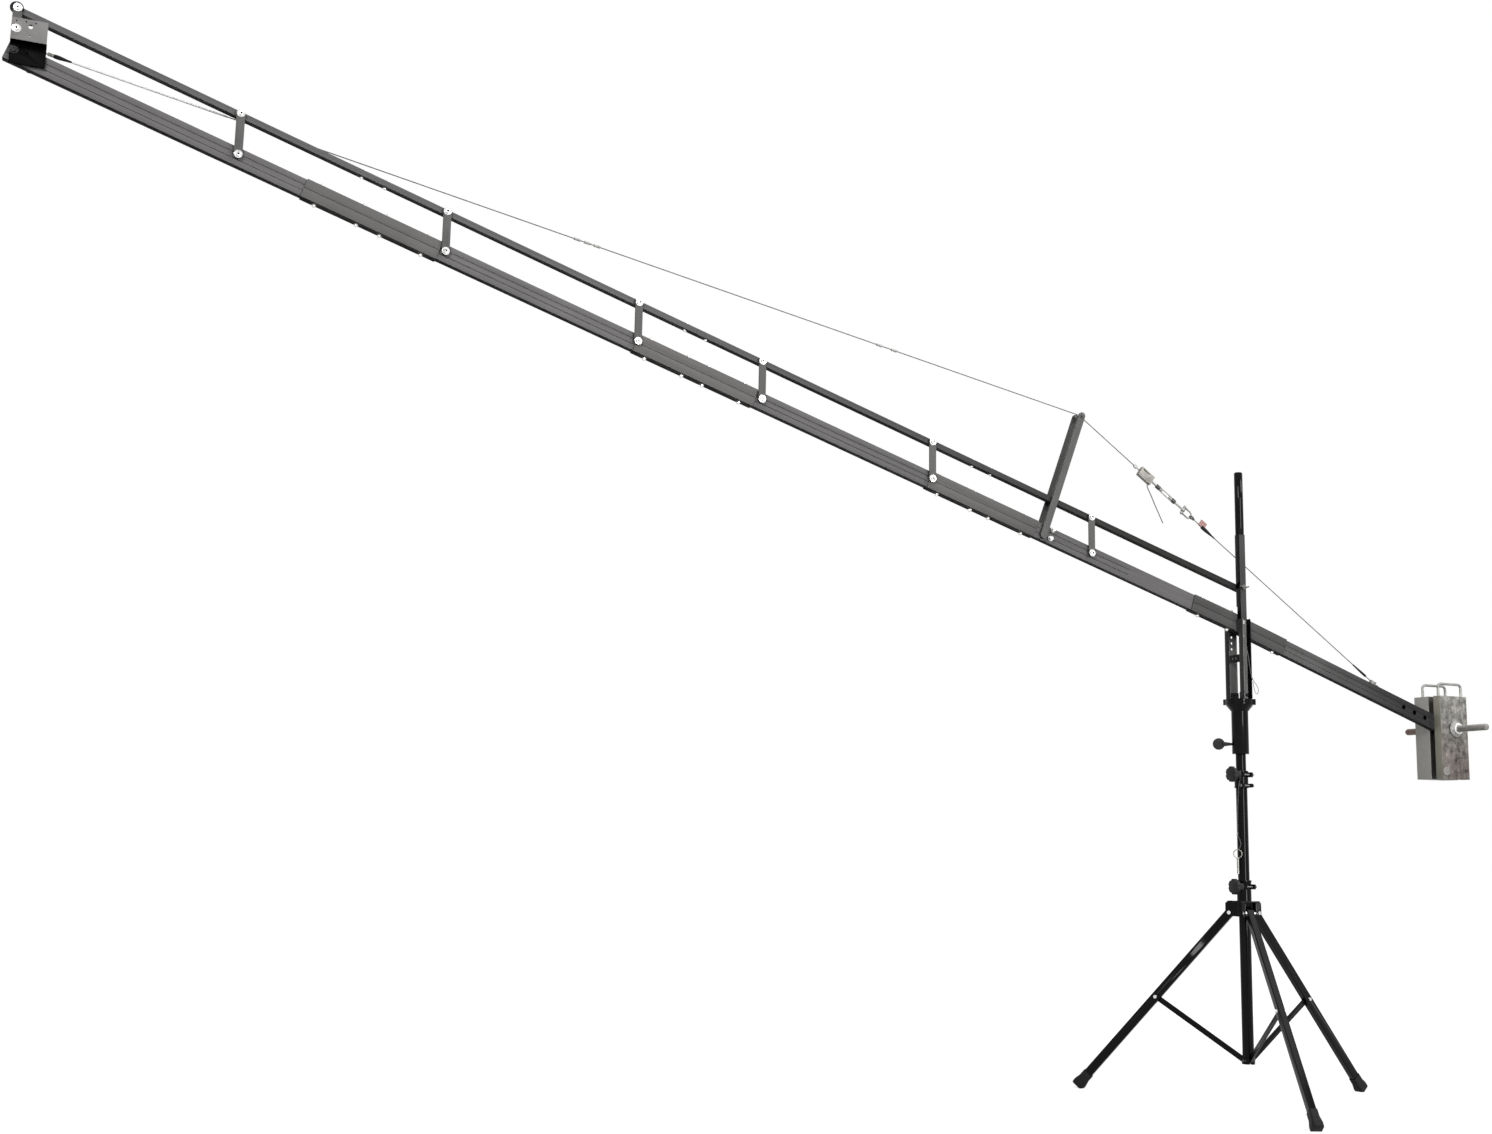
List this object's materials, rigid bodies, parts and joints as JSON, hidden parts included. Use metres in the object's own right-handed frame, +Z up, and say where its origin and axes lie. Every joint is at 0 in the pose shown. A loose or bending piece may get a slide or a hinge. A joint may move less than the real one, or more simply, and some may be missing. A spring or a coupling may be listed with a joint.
{
  "type": "camera jib crane",
  "caption": "Camera jib crane: long stayed boom with a parallel rod, level camera head, rear counterweights and a folding three-legged stand.",
  "frame": {"origin": "floor point under the pan axis, in the plane of the three feet", "axes": "+Z up along the pan axis, +X along the boom toward the counterweights, +Y away from the side that carries the posts"},
  "size_m": [5.3388, 1.0924, 3.239],
  "materials": {
    "boom_paint": "dark satin coating on aluminium",
    "stand_paint": "black semi-gloss paint",
    "gloss_black": "glossy",
    "foot_rubber": "matt",
    "knob_plastic": "matt",
    "plate_grey": "satin grey coating",
    "raw_steel": "mottled bare steel",
    "bar_steel": "worn steel, reddish far end",
    "wire_steel": "galvanised",
    "bright_fastener": "bright zinc"
  },
  "bodies": {
    "stand": {"column_outer": "stand_paint", "bottom_hub": "stand_paint", "stand_rivets": "bright_fastener", "column_collar": "stand_paint", "safety_pin": "bright_fastener", "pin_lanyard": "wire_steel"},
    "leg_collar": {"leg_hub": "stand_paint", "leg_pins": "bright_fastener"},
    "hub_clamp": {"hub_knob": "knob_plastic"},
    "collar_clamp": {"collar_knob": "knob_plastic"},
    "pan_clamp": {"pan_knob": "knob_plastic"},
    "lift_column": {"inner_column": "stand_paint"},
    "leg_one": {"leg_1": "stand_paint", "foot_1": "foot_rubber"},
    "leg_two": {"leg_2": "stand_paint", "foot_2": "foot_rubber"},
    "leg_three": {"leg_3": "stand_paint", "foot_3": "foot_rubber"},
    "brace_one": {"brace_1": "stand_paint"},
    "brace_two": {"brace_2": "stand_paint"},
    "brace_three": {"brace_3": "stand_paint"},
    "yoke": {"pan_sleeve": "stand_paint", "near_channel": "stand_paint", "far_channel": "stand_paint", "yoke_crossbar": "stand_paint", "yoke_bolts": "bright_fastener", "tilt_shaft": "bright_fastener", "monitor_post": "boom_paint", "monitor_sleeve": "gloss_black", "rod_pivot_bolt": "bright_fastener", "yoke_lanyard": "wire_steel"},
    "boom": {"boom_tubes": "boom_paint", "boom_rear": "boom_paint", "splice_sleeves": "boom_paint", "fulcrum_sleeve": "boom_paint", "splice_bolts": "bright_fastener", "boom_bolts": "bright_fastener", "king_post": "boom_paint", "stay_cable": "wire_steel", "cable_crimps": "wire_steel", "cable_anchors": "wire_steel", "cable_grip": "wire_steel", "grip_tail": "wire_steel", "cable_links": "wire_steel", "weight_bar": "bar_steel", "weight_near": "raw_steel", "weight_far": "raw_steel"},
    "weight_nut": {"bar_nut": "bright_fastener"},
    "roller": {"cable_roller": "wire_steel"},
    "turnbuckle": {"turnbuckle_body": "wire_steel"},
    "rod": {"top_rod": "boom_paint", "rod_bolts": "bright_fastener"},
    "post_1_body": {"post_1": "boom_paint"},
    "post_2_body": {"post_2": "boom_paint"},
    "post_3_body": {"post_3": "boom_paint"},
    "post_4_body": {"post_4": "boom_paint"},
    "post_5_body": {"post_5": "boom_paint"},
    "post_6_body": {"post_6": "boom_paint"},
    "head": {"head_link": "boom_paint", "camera_plate": "plate_grey"}
  },
  "joints": [
    {"name": "leg_collar_slide", "type": "slide", "parent": "stand", "child": "leg_collar", "axis": [0, 0, 1], "range_m": [0, 0.085]},
    {"name": "leg_one_fold", "type": "hinge", "parent": "leg_collar", "child": "leg_one", "pos_m": [0.05047, 0.01027, 0.65698], "axis": [-0.1994, 0.9799, 0], "range_deg": [-0.05, 7.36]},
    {"name": "brace_one_fold", "type": "hinge", "parent": "stand", "child": "brace_one", "pos_m": [0.01372, 0.00279, 0.143], "axis": [-0.1994, 0.9799, 0], "range_deg": [-10.48, 0.05]},
    {"name": "leg_two_fold", "type": "hinge", "parent": "leg_collar", "child": "leg_two", "pos_m": [-0.03413, 0.03857, 0.65698], "axis": [-0.749, -0.6626, 0], "range_deg": [-0.05, 7.36]},
    {"name": "brace_two_fold", "type": "hinge", "parent": "stand", "child": "brace_two", "pos_m": [-0.00928, 0.01048, 0.143], "axis": [-0.749, -0.6626, 0], "range_deg": [-10.48, 0.05]},
    {"name": "leg_three_fold", "type": "hinge", "parent": "leg_collar", "child": "leg_three", "pos_m": [-0.01634, -0.04884, 0.65698], "axis": [0.9483, -0.3173, 0], "range_deg": [-0.05, 7.36]},
    {"name": "brace_three_fold", "type": "hinge", "parent": "stand", "child": "brace_three", "pos_m": [-0.00444, -0.01328, 0.143], "axis": [0.9483, -0.3173, 0], "range_deg": [-10.48, 0.05]},
    {"name": "hub_clamp_turn", "type": "hinge", "parent": "leg_collar", "child": "hub_clamp", "pos_m": [0, -0.02925, 0.74998], "axis": [1, 0, 0], "continuous": true},
    {"name": "collar_clamp_turn", "type": "hinge", "parent": "stand", "child": "collar_clamp", "pos_m": [0, -0.02925, 1.15], "axis": [1, 0, 0], "continuous": true},
    {"name": "column_lift", "type": "slide", "parent": "stand", "child": "lift_column", "axis": [0, 0, 1], "range_m": [-0.05, 0.45]},
    {"name": "pan", "type": "hinge", "parent": "lift_column", "child": "yoke", "pos_m": [0, 0, 1.3], "axis": [0, 0, 1], "continuous": true},
    {"name": "pan_clamp_turn", "type": "hinge", "parent": "yoke", "child": "pan_clamp", "pos_m": [-0.02598, 0.015, 1.261], "axis": [-0.866, 0.5, 0], "continuous": true},
    {"name": "tilt", "type": "hinge", "parent": "yoke", "child": "boom", "pos_m": [0, 0, 1.706], "axis": [0, 1, 0], "range_deg": [-38, 27]},
    {"name": "rod_tilt", "type": "hinge", "parent": "yoke", "child": "rod", "pos_m": [0, 0, 1.836], "axis": [0, 1, 0], "range_deg": [-38.05, 27.05]},
    {"name": "post_1_level", "type": "hinge", "parent": "boom", "child": "post_1_body", "pos_m": [-0.64006, -0.0215, 1.91397], "axis": [0, 1, 0], "range_deg": [-27.05, 38.05]},
    {"name": "post_2_level", "type": "hinge", "parent": "boom", "child": "post_2_body", "pos_m": [-1.28012, -0.0215, 2.12194], "axis": [0, 1, 0], "range_deg": [-27.05, 38.05]},
    {"name": "post_3_level", "type": "hinge", "parent": "boom", "child": "post_3_body", "pos_m": [-1.92018, -0.0215, 2.32991], "axis": [0, 1, 0], "range_deg": [-27.05, 38.05]},
    {"name": "post_4_level", "type": "hinge", "parent": "boom", "child": "post_4_body", "pos_m": [-2.35862, -0.0215, 2.47236], "axis": [0, 1, 0], "range_deg": [-27.05, 38.05]},
    {"name": "post_5_level", "type": "hinge", "parent": "boom", "child": "post_5_body", "pos_m": [-2.99868, -0.0215, 2.68033], "axis": [0, 1, 0], "range_deg": [-27.05, 38.05]},
    {"name": "post_6_level", "type": "hinge", "parent": "boom", "child": "post_6_body", "pos_m": [-3.63874, -0.0215, 2.8883], "axis": [0, 1, 0], "range_deg": [-27.05, 38.05]},
    {"name": "head_level", "type": "hinge", "parent": "boom", "child": "head", "pos_m": [-4.2788, -0.0215, 3.09627], "axis": [0, 1, 0], "range_deg": [-27.05, 38.05]},
    {"name": "weight_nut_turn", "type": "hinge", "parent": "boom", "child": "weight_nut", "pos_m": [0.969, -0.058, 1.35543], "axis": [0, 1, 0], "continuous": true},
    {"name": "roller_turn", "type": "hinge", "parent": "boom", "child": "roller", "pos_m": [-0.67578, 0, 2.4124], "axis": [0, 1, 0], "continuous": true},
    {"name": "turnbuckle_turn", "type": "hinge", "parent": "boom", "child": "turnbuckle", "pos_m": [-0.3066, 0, 2.1636], "axis": [0.8208, 0, -0.5713], "continuous": true}
  ],
  "couplings": [
    {"joint": "leg_one_fold", "follows": "leg_collar_slide", "rad_per_m": 1.5},
    {"joint": "brace_one_fold", "follows": "leg_collar_slide", "rad_per_m": -2.1414},
    {"joint": "leg_two_fold", "follows": "leg_collar_slide", "rad_per_m": 1.5},
    {"joint": "brace_two_fold", "follows": "leg_collar_slide", "rad_per_m": -2.1414},
    {"joint": "leg_three_fold", "follows": "leg_collar_slide", "rad_per_m": 1.5},
    {"joint": "brace_three_fold", "follows": "leg_collar_slide", "rad_per_m": -2.1414},
    {"joint": "rod_tilt", "follows": "tilt", "ratio": 1},
    {"joint": "post_1_level", "follows": "tilt", "ratio": -1},
    {"joint": "post_2_level", "follows": "tilt", "ratio": -1},
    {"joint": "post_3_level", "follows": "tilt", "ratio": -1},
    {"joint": "post_4_level", "follows": "tilt", "ratio": -1},
    {"joint": "post_5_level", "follows": "tilt", "ratio": -1},
    {"joint": "post_6_level", "follows": "tilt", "ratio": -1},
    {"joint": "head_level", "follows": "tilt", "ratio": -1}
  ]
}
